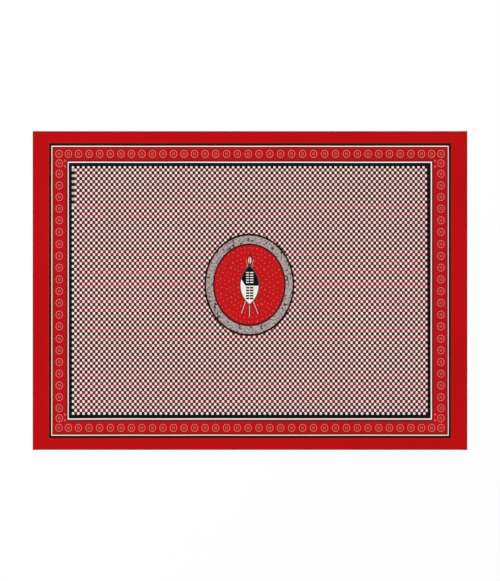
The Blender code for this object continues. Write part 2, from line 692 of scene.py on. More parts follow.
@dataclass(frozen=True)
class CornerDots:
    """Two small pale dots in each inner corner of the ring band."""

    from_middle_x: float = 638.5 * MM
    from_middle_y: tuple[float, ...] = (448.0 * MM, 428.1 * MM)
    radius: float = 3.8 * MM
    pupil_radius: float = 1.2 * MM

    def print_on(self, table: PrintTable) -> None:
        """Print the dots, the same in all four corners."""
        out_x = abs(table.x) - self.from_middle_x
        out_y = table.smallest(*(abs(abs(table.y) - middle) for middle in self.from_middle_y))
        reach = oval_reach(out_x, out_y, self.radius, self.radius)
        table.lay(Ink.RING_EYE, table.within(reach, self.radius))
        table.lay(Ink.RING_PUPIL, table.within(reach, self.pupil_radius))


class Stretch(NamedTuple):
    """One smooth wave in how far the cloth is pulled out of true: its crest and its greatest shift."""

    length: float
    crest: float
    shift: float

    def shift_at(self, place: Field) -> Field:
        """How far the cloth is pulled at a place along X or Y."""
        return ((place - self.crest) * (math.tau / self.length)).cosine() * self.shift


def as_printed(place: Field, stretches: tuple[Stretch, ...]) -> Field:
    """Where a place along X or Y was before the cloth was pulled out of true."""
    printed = place
    for stretch in stretches:
        printed = printed - stretch.shift_at(place)
    return printed


class Cells(NamedTuple):
    """A place in the checked field, counted in columns and rows from its upper left corner."""

    column: Field
    row: Field


@dataclass(frozen=True)
class CheckField:
    """The checked field: white squares between dark ones, which are black or maroon by the row.

    Rows are black and maroon in turn, but each row that repeats maroon follows another maroon one.
    The first few columns, one fewer beside the merged rows, are maroon in the even rows only. Beside
    the merged rows, pale and dark change places in the first column. The trims say where the black
    band covers the squares, and the stretches, the lean and the fan how far the cloth is out of true.
    """

    left: float = -616.1 * MM
    right: float = 612.9 * MM
    top: float = 430.5 * MM
    bottom: float = -430.0 * MM
    columns: int = 138
    rows: int = 85
    rows_that_repeat_maroon: tuple[int, ...] = (
        14, 17, 30, 33, 36, 37, 40, 41, 46, 49, 56, 59, 72, 75, 78, 81
    )
    merged_rows: int = 14
    plain_columns: int = 3
    column_stretches: tuple[Stretch, ...] = (
        Stretch(length=530 * MM, crest=48 * MM, shift=1.27 * MM),
        Stretch(length=2850 * MM, crest=-36 * MM, shift=1.48 * MM),
    )
    row_stretches: tuple[Stretch, ...] = (Stretch(length=2850 * MM, crest=-50 * MM, shift=2.09 * MM),)
    lean: float = 0.0019
    fan: float = 0.0022
    squeezed_columns: float = 3.0
    last_columns_squeeze: float = 0.07
    first_row_stretch: float = 0.061
    last_row_squeeze: float = 0.092
    line_reach: float = 1.0
    line_core: float = 0.2
    top_trim: float = 428.9 * MM
    bottom_trim: float = 428.6 * MM
    first_column_trim: float = 0.11
    last_column_trim: float = 0.215
    middle_of_cell: float = 0.5
    dark_edge: float = 0.01
    dark_edge_blur: float = 0.13
    pale_edge: float = 0.195
    pale_edge_blur: float = 0.21
    crimson: Patches = Patches(size=16.0 * MM, start=0.44, full=0.62, seed=Seed.CRIMSON)

    def print_on(self, table: PrintTable) -> None:
        """Print the squares inside the black band."""
        cells = self.cells(table)
        inside = table.smallest(
            cells.column > self.first_column_trim,
            cells.column < self.columns - self.last_column_trim,
            table.within(table.y, self.top_trim),
            table.beyond(table.y, -self.bottom_trim),
        )
        table.lay(self.squares(table, cells), inside)

    def cells(self, table: PrintTable) -> Cells:
        """Count the columns and rows up to each place, following the cloth where it is out of true."""
        slant = table.x * self.fan + self.lean
        x = as_printed(table.y * slant + table.x, self.column_stretches)
        y = as_printed(table.y, self.row_stretches)
        even_column = (x - self.left) / ((self.right - self.left) / self.columns)
        even_row = (self.top - y) / ((self.top - self.bottom) / self.rows)

        near_right = even_column.ease(self.columns - self.squeezed_columns, self.columns - 1)
        near_first = self.near_line(even_row, 1)
        near_last = self.near_line(even_row, self.rows - 1)
        return Cells(
            column=even_column + near_right * self.last_columns_squeeze,
            row=even_row - near_first * self.first_row_stretch - near_last * self.last_row_squeeze,
        )

    def near_line(self, row: Field, line: int) -> Field:
        """How near a place is to the line between two rows, from 0 to 1."""
        return abs(row - line).ease(self.line_reach, self.line_core)

    def squares(self, table: PrintTable, cells: Cells) -> Socket:
        """Colour the squares: dark, pale, or the fringe between them."""
        merged = table.smallest(cells.column < 1, cells.row < self.merged_rows, cells.row > 1)
        paleness = self.paleness(table, cells, merged)
        off_dark = paleness.step_at(self.dark_edge, self.dark_edge_blur)
        on_pale = paleness.step_at(self.pale_edge, self.pale_edge_blur)
        maroon = self.maroon_rows(table, cells)
        crimson = table.patches(self.crimson)
        reddish = table.blend(crimson, Ink.CHECK_MAROON, Ink.CHECK_CRIMSON)
        end_row = table.largest(cells.row < 1, cells.row > self.rows - 1)
        black = table.blend(end_row, Ink.CHECK_BLACK, Ink.BAND_BLACK)
        grey = table.blend(end_row, Ink.CHECK_GREY, Ink.CHECK_END_GREY)
        white = table.blend(end_row, Ink.CHECK_WHITE, Ink.CHECK_END_WHITE)
        dark = table.blend(maroon, black, reddish)
        fringe = table.blend(maroon, grey, Ink.CHECK_ROSE)
        pale = table.blend(maroon, white, Ink.CHECK_PINK)
        pale = table.blend(merged, pale, Ink.CHECK_MERGED_WHITE)
        return table.blend(on_pale, table.blend(off_dark, dark, fringe), pale)

    def paleness(self, table: PrintTable, cells: Cells, merged: Field) -> Field:
        """From -1 in the middle of a dark square to 1 in the middle of a pale one.

        The merged field is 1 where pale and dark change places, in part of the first column.
        """
        column = table.largest(cells.column, self.middle_of_cell)
        row = cells.row.held(self.middle_of_cell, self.rows - self.middle_of_cell)
        wave = (column * math.pi).sine() * (row * math.pi).sine()
        return wave * (1 - merged * 2)

    def maroon_rows(self, table: PrintTable, cells: Cells) -> Field:
        """1 in the rows whose dark squares are maroon instead of black, and 0 in the others."""
        whole_row = cells.row.floor()
        passed = whole_row
        for repeated in self.rows_that_repeat_maroon:
            passed = passed + (cells.row > repeated)
        in_field = passed % 2
        at_edge = table.smallest(1 - whole_row % 2, cells.column > 1, cells.row > 1)
        below_merge = cells.row > self.merged_rows
        plain = cells.column < below_merge + (self.plain_columns - 1)
        return (at_edge - in_field) * plain + in_field


@dataclass(frozen=True)
class MiddleOval:
    """The oval in the middle: a speckled grey ring round a red ground with rows of pale dots."""

    middle_x: float = -2.3 * MM
    middle_y: float = 19.5 * MM
    half_width: float = 155.6 * MM
    half_height: float = 177.0 * MM
    outline: float = 6.2 * MM
    ground_half_width: float = 125.5 * MM
    ground_half_height: float = 142.8 * MM
    ground_outline: float = 4.9 * MM
    ground_shade: float = 3.4 * MM
    seam_width: float = 1.6 * MM
    seam_strength: float = 0.4
    lilac: Patches = Patches(size=15.0 * MM, start=0.42, full=0.60, seed=Seed.LILAC)
    sage: Patches = Patches(size=15.0 * MM, start=0.52, full=0.68, seed=Seed.SAGE)
    shadow: Patches = Patches(size=6.5 * MM, start=0.38, full=0.72, seed=Seed.SHADOW, detail=1.0)
    shadow_strength: float = 0.7
    specks: Patches = Patches(size=10.5 * MM, start=0.61, full=0.69, seed=Seed.SPECKS, detail=0.0)
    speck_strength: float = 0.9
    dull_red: Patches = Patches(size=6.5 * MM, start=0.40, full=0.68, seed=Seed.DULL_RED)
    full_dots: Patches = Patches(size=15.0 * MM, start=0.38, full=0.60, seed=Seed.FULL_DOTS)
    faintest_dot: float = 0.55
    dot_radius: float = 1.7 * MM
    dot_spacing: float = 15.0 * MM
    dot_ring_pitch: float = 14.2 * MM
    first_dot_ring: float = 2.0
    dot_stagger: float = 0.5
    dot_scatter: float = 9.0 * MM
    dot_scatter_size: float = 30.0 * MM

    def print_on(self, table: PrintTable) -> None:
        """Print the grey ring and the red ground inside it."""
        x = table.x - self.middle_x
        y = table.y - self.middle_y
        self.print_ring(table, x, y)
        self.print_ground(table, x, y)

    def print_ring(self, table: PrintTable, x: Field, y: Field) -> None:
        """Print the grey ring on its dark outline, with the faint seam that crosses it.

        Here and in the methods below, x and y are distances from the oval's middle.
        """
        rim = oval_reach(x, y, self.half_width, self.half_height)
        on_ring = table.within(rim, self.half_width - self.outline)
        on_seam = table.within(abs(x), self.seam_width / 2)
        table.lay(Ink.OVAL_BLACK, table.within(rim, self.half_width))
        table.lay(self.speckled_grey(table), on_ring)
        table.lay(Ink.OVAL_SPECK, on_seam * on_ring * self.seam_strength)

    def speckled_grey(self, table: PrintTable) -> Socket:
        """Clouds of warm grey, lilac and sage, with dark specks."""
        shadow = table.patches(self.shadow) * self.shadow_strength
        specks = table.patches(self.specks) * self.speck_strength
        grey = table.blend(table.patches(self.lilac), Ink.OVAL_GREY, Ink.OVAL_LILAC)
        tinted = table.blend(table.patches(self.sage), grey, Ink.OVAL_SAGE)
        mottled = table.blend(shadow, tinted, Ink.OVAL_SPECK)
        return table.blend(specks, mottled, Ink.OVAL_SPECK)

    def print_ground(self, table: PrintTable, x: Field, y: Field) -> None:
        """Print the uneven red ground on its dark outline, with its pale dots."""
        reach = oval_reach(x, y, self.ground_half_width, self.ground_half_height)
        inner_edge = self.ground_half_width - self.ground_outline
        red = table.blend(table.patches(self.dull_red), Ink.OVAL_RED, Ink.OVAL_DULL_RED)
        table.lay(Ink.OVAL_BROWN, table.within(reach, self.ground_half_width))
        table.lay(Ink.RED_BY_LINE, table.within(reach, inner_edge))
        table.lay(red, table.within(reach, inner_edge - self.ground_shade))

        fullness = table.patches(self.full_dots).spread(self.faintest_dot, 1.0)
        inked = self.dots(table, x, y) * fullness
        table.lay(Ink.OVAL_DOT, inked * table.within(reach, inner_edge - self.dot_radius))

    def dots(self, table: PrintTable, x: Field, y: Field) -> Field:
        """The share covered by the pale dots, which stand in loose rows round the oval's middle."""
        loose_x = x + self.scatter(table, Seed.STRAY_X)
        loose_y = y + self.scatter(table, Seed.STRAY_Y)
        reach = oval_reach(loose_x, loose_y, self.ground_half_width, self.ground_half_height)
        ring = table.largest(round(reach / self.dot_ring_pitch), self.first_dot_ring)
        scaled_y = loose_y * (self.ground_half_width / self.ground_half_height)
        turns = table.angle(scaled_y, loose_x) / math.tau
        dots_per_ring = math.tau * self.dot_ring_pitch / self.dot_spacing
        count = round(ring * dots_per_ring)
        step = turns * count + ring * self.dot_stagger
        from_dot = step - round(step)
        around = from_dot * self.dot_spacing
        outward = reach - ring * self.dot_ring_pitch
        from_middle = oval_reach(outward, around, self.dot_radius, self.dot_radius)
        return table.within(from_middle, self.dot_radius)

    def scatter(self, table: PrintTable, seed: Seed) -> Field:
        """How far the dots stray along one axis, in metres."""
        noise_there = table.cloud(table.place, self.dot_scatter_size, seed, detail=0.0)
        return noise_there.spread(-self.dot_scatter, self.dot_scatter)


StrokeEnds = tuple[tuple[float, float], tuple[float, float]]


class Strokes(NamedTuple):
    """Straight coral strokes with a dark red line along both sides: their ends and their widths."""

    ends: tuple[StrokeEnds, ...]
    width: float
    outline: float

    def print_on(self, table: PrintTable) -> None:
        """Print the strokes one by one."""
        for start, end in self.ends:
            table.lay(Ink.SPEAR_LINE, table.stroke(start, end, self.width + 2 * self.outline))
            table.lay(Ink.SPEAR_CORAL, table.stroke(start, end, self.width))


class Lacing(NamedTuple):
    """A ladder of lacing on the shield: its top bar's middle, its step, its bars and the gap."""

    top: float
    pitch: float
    bar: float
    gap: float


@dataclass(frozen=True)
class ShieldAndSpears:
    """The traditional hide shield, black above and pale below, with three spears behind it."""

    body: Leaf = Leaf(x=-1.5 * MM, foot_y=-47.4 * MM, width=63.0 * MM, height=132.0 * MM)
    body_inset: float = 0.8 * MM
    outline: float = 2.2 * MM
    shade: float = 5.5 * MM
    parting_y: float = 16.5 * MM
    parting_turn_x: float = -16.2 * MM
    parting_slope: float = 1.65
    lacing_x: float = -1.6 * MM
    lacing_left: float = 12.0 * MM
    lacing_right: float = 13.5 * MM
    lacing_steps: int = 5
    upper_lacing: Lacing = Lacing(top=61.95 * MM, pitch=8.55 * MM, bar=3.5 * MM, gap=3.5 * MM)
    lower_lacing: Lacing = Lacing(top=9.6 * MM, pitch=9.25 * MM, bar=5.8 * MM, gap=1.9 * MM)
    blade: Leaf = Leaf(x=-0.9 * MM, foot_y=88.0 * MM, width=14.2 * MM, height=32.0 * MM)
    blade_inset: float = 1.4 * MM
    blade_line: Leaf = Leaf(x=0.2 * MM, foot_y=84.0 * MM, width=20.5 * MM, height=46.0 * MM)
    rib_x: float = -1.6 * MM
    rib_width: float = 2.6 * MM
    neck_width: float = 9.5 * MM
    neck_top_y: float = 93.5 * MM
    neck_foot_y: float = 80.0 * MM
    shafts: Strokes = Strokes(
        ends=(
            ((-14.7 * MM, -36.0 * MM), (-30.0 * MM, -79.5 * MM)),
            ((-1.7 * MM, -45.0 * MM), (-1.7 * MM, -90.5 * MM)),
            ((11.2 * MM, -36.0 * MM), (27.5 * MM, -80.5 * MM)),
        ),
        width=2.9 * MM,
        outline=3.2 * MM,
    )
    side_tips: Strokes = Strokes(
        ends=(
            ((-13.0 * MM, 106.0 * MM), (-8.3 * MM, 82.0 * MM)),
            ((12.0 * MM, 107.5 * MM), (6.2 * MM, 81.0 * MM)),
        ),
        width=1.5 * MM,
        outline=1.6 * MM,
    )

    def print_on(self, table: PrintTable) -> None:
        """Print the spears and then the shield over them."""
        depth = table.leaf_depth(self.body)
        table.lay(Ink.SHIELD_SHADE, table.beyond(depth, -self.shade))
        self.shafts.print_on(table)
        self.print_blade(table)
        self.side_tips.print_on(table)
        self.print_shield(table, depth)

    def print_blade(self, table: PrintTable) -> None:
        """Print the middle spear's blade on its dark line, with its rib."""
        blade = table.leaf_depth(self.blade)
        rib = table.smallest(self.rib_width / 2 - abs(table.x - self.rib_x), blade - self.blade_inset)
        table.lay(Ink.BLADE_LINE, table.beyond(table.leaf_depth(self.blade_line), 0.0))
        table.lay(Ink.SPEAR_PALE, table.beyond(blade, self.blade_inset))
        table.lay(Ink.SPEAR_RIB, table.beyond(rib, 0.0))

    def print_shield(self, table: PrintTable, depth: Field) -> None:
        """Print the shield over the middle spear's neck, black and pale, with its lacing.

        The depth is how far a place lies inside the shield.
        """
        neck_top = (self.rib_x, self.neck_top_y)
        neck_foot = (self.rib_x, self.neck_foot_y)
        slant = table.largest(self.parting_turn_x - table.x, 0)
        parting = slant * self.parting_slope + self.parting_y
        pale = table.smallest(parting - table.y, depth - self.body_inset)
        table.lay(Ink.SHIELD_LINE, table.beyond(depth, -self.outline))
        table.lay(Ink.SPEAR_NECK, table.stroke(neck_top, neck_foot, self.neck_width))
        table.lay(Ink.SHIELD_BLACK, table.beyond(depth, self.body_inset))
        table.lay(Ink.SHIELD_WHITE, table.beyond(pale, 0.0))
        table.lay(Ink.SHIELD_WHITE, self.lacing_cover(table, self.upper_lacing))
        table.lay(Ink.SHIELD_BLACK, self.lacing_cover(table, self.lower_lacing))

    def lacing_cover(self, table: PrintTable, lacing: Lacing) -> Field:
        """The share covered by one ladder of lacing: two columns of short level bars."""
        x = table.x - self.lacing_x
        down = (lacing.top - table.y) / lacing.pitch
        step = round(down).held(0, self.lacing_steps - 1)
        off_bar = (down - step) * lacing.pitch
        depth = table.smallest(
            lacing.bar / 2 - abs(off_bar),
            x + self.lacing_left,
            self.lacing_right - x,
            abs(x) - lacing.gap / 2,
        )
        return table.beyond(depth, 0.0)


@dataclass(frozen=True)
class KangaPrint:
    """The whole print, as a node group that turns a place on the cloth into its colour."""

    cloth: ClothSize

    def group(self) -> bpy.types.NodeTree:
        """Build the node group."""
        wiring, takes, gives = new_group(
            "kanga_print",
            takes=[PLACE_SOCKET],
            gives=[COLOUR_SOCKET],
        )
        # The ground is the darker red of the painted edge shade; the bands cover all of it but the cloth's outer few
        # millimetres.
        table = PrintTable(wiring.tree, takes["Place"], Ink.EDGE_SHADE_RED)
        for element in (
            BorderBands(self.cloth),
            RingMotifs(),
            CornerDots(),
            CheckField(),
            MiddleOval(),
            ShieldAndSpears(),
        ):
            element.print_on(table)
        wiring.feed(gives["Colour"], table.colour)
        return wiring.tree


@dataclass(frozen=True)
class PlainWeave:
    """Plain cotton weave, as a node group: its height, and how its yarns take the dye."""

    yarn_pitch: float = 0.45 * MM
    yarn_dip: float = 0.4
    slub_length: float = 40 * MM
    slub_width: float = 0.9 * MM

    def group(self) -> bpy.types.NodeTree:
        """Build the node group."""
        wiring, takes, gives = new_group(
            "plain_weave",
            takes=[PLACE_SOCKET],
            gives=[GroupSocket("Height", "NodeSocketFloat"), GroupSocket("Tone", "NodeSocketFloat")],
        )
        x, y = wiring.split(takes["Place"])
        warp = self.yarn(x, y)
        weft = self.yarn(y, x)
        step_x = (x / self.yarn_pitch).floor()
        step_y = (y / self.yarn_pitch).floor()
        over = (step_x + step_y) % 2
        wiring.feed(gives["Height"], (warp - weft) * over + weft)

        lengthwise = self.slubs(wiring, x, y, Seed.WARP_SLUBS)
        crosswise = self.slubs(wiring, y, x, Seed.WEFT_SLUBS)
        wiring.feed(gives["Tone"], (lengthwise + crosswise) / 2)
        return wiring.tree

    def yarn(self, across: Field, along: Field) -> Field:
        """Height of yarns that lie side by side, which dip where they pass under, from 0 to 1."""
        per_pitch = math.pi / self.yarn_pitch
        crown = abs((across * per_pitch).sine())
        arch = abs((along * per_pitch).sine())
        return crown * arch.spread(self.yarn_dip, 1.0)

    def slubs(self, wiring: Wiring, along: Field, across: Field, seed: Seed) -> Field:
        """Long thin streaks, from 0 to 1, where a yarn is thicker or paler."""
        stretched = wiring.join(along / self.slub_length, across / self.slub_width)
        return wiring.cloud(stretched, 1.0, seed)


@dataclass(frozen=True)
class WashedTone:
    """Uneven dye and light wear over a colour, as a node group."""

    patch_size: float = 190 * MM
    patch_depth: float = 0.08
    mottle_size: float = 14 * MM
    mottle_depth: float = 0.07
    mottle_detail: float = 3.0
    yarn_depth: float = 0.22

    def group(self) -> bpy.types.NodeTree:
        """Build the node group."""
        wiring, takes, gives = new_group(
            "washed_tone",
            takes=[
                PLACE_SOCKET,
                COLOUR_SOCKET,
                GroupSocket("Yarn", "NodeSocketFloat", start=0.5),
                GroupSocket("Strength", "NodeSocketFloat", start=1.0),
            ],
            gives=[COLOUR_SOCKET],
        )
        patches = wiring.cloud(takes["Place"], self.patch_size, Seed.DYE_PATCHES)
        mottle = wiring.cloud(takes["Place"], self.mottle_size, Seed.DYE_MOTTLE, self.mottle_detail)
        uneven = (
            patches.spread(-self.patch_depth, self.patch_depth)
            + mottle.spread(-self.mottle_depth, self.mottle_depth)
            + Field(wiring, takes["Yarn"]).spread(-self.yarn_depth, self.yarn_depth)
        )
        light = uneven * Field(wiring, takes["Strength"]) + 1
        shade = wiring.fill(wiring.node("ShaderNodeHueSaturation"), value=light, color=takes["Colour"])
        wiring.feed(gives["Colour"], shade.outputs[0])
        return wiring.tree


@dataclass(frozen=True)
class EffectGroups:
    """The node groups that the cloth's finishes share."""

    pattern: bpy.types.NodeTree
    weave: bpy.types.NodeTree
    tone: bpy.types.NodeTree

    @classmethod
    def build(cls, cloth: ClothSize) -> "EffectGroups":
        """Build each group once."""
        return cls(KangaPrint(cloth).group(), PlainWeave().group(), WashedTone().group())


@dataclass(frozen=True)
class CottonFinish:
    """Printed cotton: the print over plain weave, with how much of it shows on this side."""

    name: str
    groups: EffectGroups
    show_through: float = 1.0
    undyed: Colour = linear_colour(226, 206, 198)
    roughness: float = 0.88
    specular: float = 0.06
    tone_strength: float = 1.0
    weave_height: float = 0.12 * MM
    weave_strength: float = 0.35

    def material(self) -> bpy.types.Material:
        """Build the material."""
        material, wiring, shader = new_material(self.name, self.roughness, self.specular)
        place = wiring.node("ShaderNodeTexCoord").outputs["Object"]
        pattern = wiring.group(self.groups.pattern, place=place)
        weave = wiring.group(self.groups.weave, place=place)
        colour: Paint = pattern.outputs["Colour"]
        if self.show_through < 1.0:
            colour = wiring.blend(self.show_through, self.undyed, colour)
        toned = wiring.group(
            self.groups.tone,
            place=place,
            colour=colour,
            yarn=weave.outputs["Tone"],
            strength=self.tone_strength,
        )
        bump = wiring.fill(
            wiring.node("ShaderNodeBump"),
            height=weave.outputs["Height"],
            distance=self.weave_height,
            strength=self.weave_strength,
        )
        wiring.fill(shader, base_color=toned.outputs["Colour"], normal=bump.outputs[0])
        return material


@dataclass(frozen=True)
class ThreadFinish:
    """Twisted sewing thread in the border's red, with painted shade in the grooves between its plies.

    The groove and the crown are heights of the twist's wave, which runs from -1 to 1.
    """

    name: str = "sewing_thread"
    colour: Colour = linear_colour(170, 20, 26)
    groove_shade_light: float = 0.6
    groove: float = -0.1
    crown: float = 1.1
    twist_pitch: float = 0.5 * MM
    roughness: float = 0.6
    specular: float = 0.2

    def material(self) -> bpy.types.Material:
        """Build the material."""
        material, wiring, shader = new_material(self.name, self.roughness, self.specular)
        x, y = wiring.split(wiring.node("ShaderNodeTexCoord").outputs["Object"])
        twist = ((x + y) * (math.tau / self.twist_pitch)).sine()
        # The share runs from 0 in the grooves, where the shade is painted, to 1 on the crowns.
        plies = twist.ease(self.groove, self.crown)
        *channels, alpha = self.colour
        # Painted shade: the grooves take the thread's red, dimmed.
        dark = (*(self.groove_shade_light * channel for channel in channels), alpha)
        wiring.fill(shader, base_color=wiring.blend(plies, dark, self.colour))
        return material


def name_piece(piece: bpy.types.Object, name: str) -> None:
    """Name a piece and its mesh."""
    piece.name = name
    piece.data.name = name


def dress(piece: bpy.types.Object, *finishes: Union[CottonFinish, ThreadFinish]) -> None:
    """Give a piece its materials, in order."""
    piece.data.materials.clear()
    for finish in finishes:
        piece.data.materials.append(finish.material())


class Swell(NamedTuple):
    """A low, soft rise in the cloth: a long bump on an oval foot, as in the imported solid."""

    x: float
    y: float
    half_length: float
    half_width: float
    turn_deg: float
    rise: float


SWELLS = (
    Swell(x=-0.480, y=0.190, half_length=0.250, half_width=0.085, turn_deg=58, rise=1.3 * MM),
    Swell(x=-0.250, y=-0.260, half_length=0.280, half_width=0.095, turn_deg=-24, rise=1.1 * MM),
    Swell(x=0.130, y=0.290, half_length=0.300, half_width=0.080, turn_deg=12, rise=1.2 * MM),
    Swell(x=0.420, y=-0.130, half_length=0.270, half_width=0.090, turn_deg=66, rise=1.4 * MM),
    Swell(x=0.090, y=-0.090, half_length=0.210, half_width=0.110, turn_deg=-48, rise=0.7 * MM),
    Swell(x=0.590, y=0.310, half_length=0.150, half_width=0.070, turn_deg=-35, rise=1.0 * MM),
)


def smooth_step(value: float) -> float:
    """Ease from 0 to 1 with level ends."""
    share = min(max(value, 0.0), 1.0)
    return share * share * (3 - 2 * share)


def half_turn(steps: int) -> list[float]:
    """Angles in even steps from -90 to 90 degrees, in radians."""
    return [math.radians(180 * step / steps - 90) for step in range(steps + 1)]


class PathPoint(NamedTuple):
    """A point on the middle line of the hem: how far in from the cut end it is, and its height."""

    inset: float
    height: float


@dataclass(frozen=True)
class ClothSheet:
    """The cloth: one thin sheet, with a hem turned under twice at each cut end.

    The steps of the hem's layers are places along it, as shares of its width.
    """

    size: ClothSize
    thickness: float = 0.42 * MM
    layer_gap: float = 0.06 * MM
    hem_width: float = 9.0 * MM
    hem_rise_length: float = 22.0 * MM
    inner_turn_inset: float = 0.9 * MM
    top_layer_steps: tuple[float, ...] = (1.0, 0.78, 0.56, 0.34)
    bottom_layer_steps: tuple[float, ...] = (0.34, 0.56, 0.78)
    middle_layer_steps: tuple[float, ...] = (0.7, 0.4)
    outer_turn_steps: int = 6
    inner_turn_steps: int = 5
    pitch: float = 8.0 * MM
    swell_fade: float = 60 * MM
    crinkle_size: float = 55 * MM
    crinkle_rise: float = 0.22 * MM
    smooth_angle_deg: float = 50.0

    @property
    def layer_pitch(self) -> float:
        """The step from the middle of one layer of the hem to the next."""
        return self.thickness + self.layer_gap

    @property
    def hem_top(self) -> float:
        """The height of the hem's upper side."""
        return self.thickness + 2 * self.layer_pitch

    @property
    def cut_length(self) -> float:
        """The length that the cloth is cut to, with both hems let out."""
        return self.size.length + 2 * (2 * self.hem_width - 2 * self.inner_turn_inset)

    def hem_path(self) -> list[PathPoint]:
        """Points of the hem's middle line, from the sheet's side to the raw edge inside the hem.

        The top layer runs out, turns under, comes back as the bottom layer, turns up at the inner
        fold and ends as the middle layer.
        """
        bottom = self.thickness / 2
        middle = bottom + self.layer_pitch
        top = middle + self.layer_pitch
        outer_turn = self.layer_pitch
        outer_middle = self.thickness / 2 + outer_turn
        inner_turn = self.layer_pitch / 2
        inner_middle = self.hem_width - self.thickness / 2 - inner_turn
        path = [PathPoint(self.hem_width * share, top) for share in self.top_layer_steps]
        for turn in reversed(half_turn(self.outer_turn_steps)):
            inset = outer_middle - outer_turn * math.cos(turn)
            path.append(PathPoint(inset, middle + outer_turn * math.sin(turn)))
        path += [PathPoint(self.hem_width * share, bottom) for share in self.bottom_layer_steps]
        for turn in half_turn(self.inner_turn_steps):
            inset = inner_middle + inner_turn * math.cos(turn)
            path.append(PathPoint(inset, bottom + inner_turn + inner_turn * math.sin(turn)))
        path += [PathPoint(self.hem_width * share, middle) for share in self.middle_layer_steps]
        path.append(PathPoint(self.inner_turn_inset + self.thickness, middle))
        return path

    def lie(self, x: float, y: float) -> float:
        """Height of the sheet's middle line above the plane that the cloth lies on.

        Between the hems it is flat, but for the swells and the crinkles.
        """
        from_end = self.size.length / 2 - self.hem_width - abs(x)
        from_side = self.size.width / 2 - abs(y)
        height = 0.0
        for swell in SWELLS:
            turn = math.radians(swell.turn_deg)
            along = (x - swell.x) * math.cos(turn) + (y - swell.y) * math.sin(turn)
            across = (y - swell.y) * math.cos(turn) - (x - swell.x) * math.sin(turn)
            reach = (along / swell.half_length) ** 2 + (across / swell.half_width) ** 2
            height += swell.rise * math.exp(-reach)
        crinkle = (1 + noise.noise(Vector((x, y, 0.0)) / self.crinkle_size)) / 2
        height += self.crinkle_rise * max(crinkle, 0.0)
        height *= smooth_step(from_end / self.swell_fade) * smooth_step(from_side / self.swell_fade)
        hem_lift = 2 * self.layer_pitch * (1 - smooth_step(from_end / self.hem_rise_length))
        return self.thickness / 2 + height + hem_lift

    def section(self) -> list[tuple[float, Optional[float]]]:
        """The X of every column of the sheet's grid, from one raw edge to the other.

        A column in a hem has its height as well. Between the hems the height is None.
        """
        half = self.size.length / 2
        hem = [(half - point.inset, point.height) for point in self.hem_path()]
        start = half - self.hem_width
        steps = round(2 * start / self.pitch)
        middle = [(-start + 2 * start * step / steps, None) for step in range(1, steps)]
        left = [(-x, height) for x, height in reversed(hem)]
        return left + middle + hem

    def build(self) -> bpy.types.Object:
        """Lay out the sheet as a grid, turn its hems under and give it its thickness.

        Its upper side and its edges take the first material, and its underside the second.
        """
        columns = self.section()
        rows = round(self.size.width / self.pitch)
        bpy.ops.mesh.primitive_grid_add(x_subdivisions=len(columns) - 1, y_subdivisions=rows, size=1.0)
        cloth = bpy.context.object
        name_piece(cloth, "printed_cloth")
        for vert in cloth.data.vertices:
            column = round((vert.co.x + 0.5) * (len(columns) - 1))
            x, height = columns[column]
            y = vert.co.y * self.size.width
            vert.co = (x, y, self.lie(x, y) if height is None else height)
        cloth.data.update()

        shell = cloth.modifiers.new("cloth_thickness", "SOLIDIFY")
        shell.thickness = self.thickness
        shell.offset = 0.0
        shell.material_offset = 1
        bpy.ops.object.modifier_apply(modifier=shell.name)
        bpy.ops.object.shade_smooth_by_angle(angle=math.radians(self.smooth_angle_deg))
        return cloth


